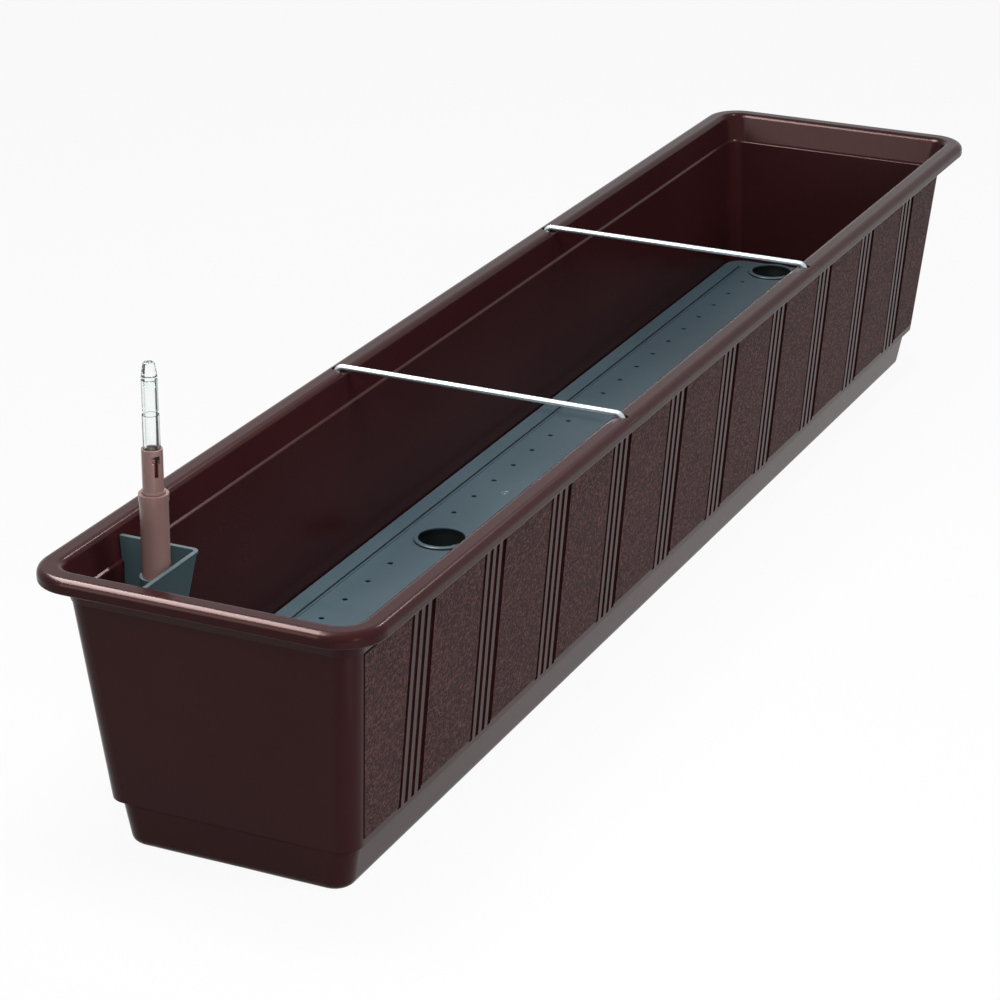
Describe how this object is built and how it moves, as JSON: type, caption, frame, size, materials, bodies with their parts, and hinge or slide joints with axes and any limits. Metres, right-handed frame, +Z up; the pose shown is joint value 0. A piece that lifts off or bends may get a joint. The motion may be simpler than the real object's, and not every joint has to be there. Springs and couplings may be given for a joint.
{
  "type": "window box planter",
  "caption": "Long self-watering window box: rimmed trough with wire braces, a perforated false floor over a water reservoir, a corner filling shaft and a float level gauge.",
  "frame": {"origin": "middle of the base, on the surface that the trough stands on", "axes": "+X along the trough, the filling shaft at the -X end; +Y across it, towards the shaft's side; +Z up"},
  "size_m": [1, 0.203, 0.274],
  "materials": {
    "brown_plastic": "moulded, satin, grained panels",
    "blue_grey_plastic": "moulded, matt",
    "galvanised_wire": "zinc plated wire",
    "gauge_brown": "extruded, glossy",
    "clear_plastic": "clear moulded plastic",
    "float_plastic": "white foam plastic",
    "pointer_red": "red plastic"
  },
  "bodies": {
    "trough": {"planter_box": "brown_plastic"},
    "insert": {"false_floor": "blue_grey_plastic", "soil_cup_1": "blue_grey_plastic", "soil_cup_2": "blue_grey_plastic", "soil_cup_3": "blue_grey_plastic", "soil_cup_4": "blue_grey_plastic", "filler_shaft": "blue_grey_plastic", "gauge_tube": "gauge_brown"},
    "riser": {"gauge_riser": "gauge_brown", "sight_tube": "clear_plastic", "sight_cap": "clear_plastic"},
    "float_gauge": {"float": "float_plastic", "float_rod": "float_plastic", "float_pointer": "pointer_red"},
    "brace_near": {"brace_near": "galvanised_wire"},
    "brace_far": {"brace_far": "galvanised_wire"}
  },
  "joints": [
    {"name": "insert_lift", "type": "slide", "parent": "trough", "child": "insert", "axis": [0, 0, 1], "range_m": [0, 0.095]},
    {"name": "riser_slide", "type": "slide", "parent": "insert", "child": "riser", "axis": [0, 0, 1], "range_m": [0, 0.04]},
    {"name": "float_rise", "type": "slide", "parent": "insert", "child": "float_gauge", "axis": [0, 0, 1], "range_m": [0, 0.04]},
    {"name": "brace_near_lift", "type": "slide", "parent": "trough", "child": "brace_near", "axis": [0, 0, 1], "range_m": [0, 0.04]},
    {"name": "brace_far_lift", "type": "slide", "parent": "trough", "child": "brace_far", "axis": [0, 0, 1], "range_m": [0, 0.04]}
  ]
}
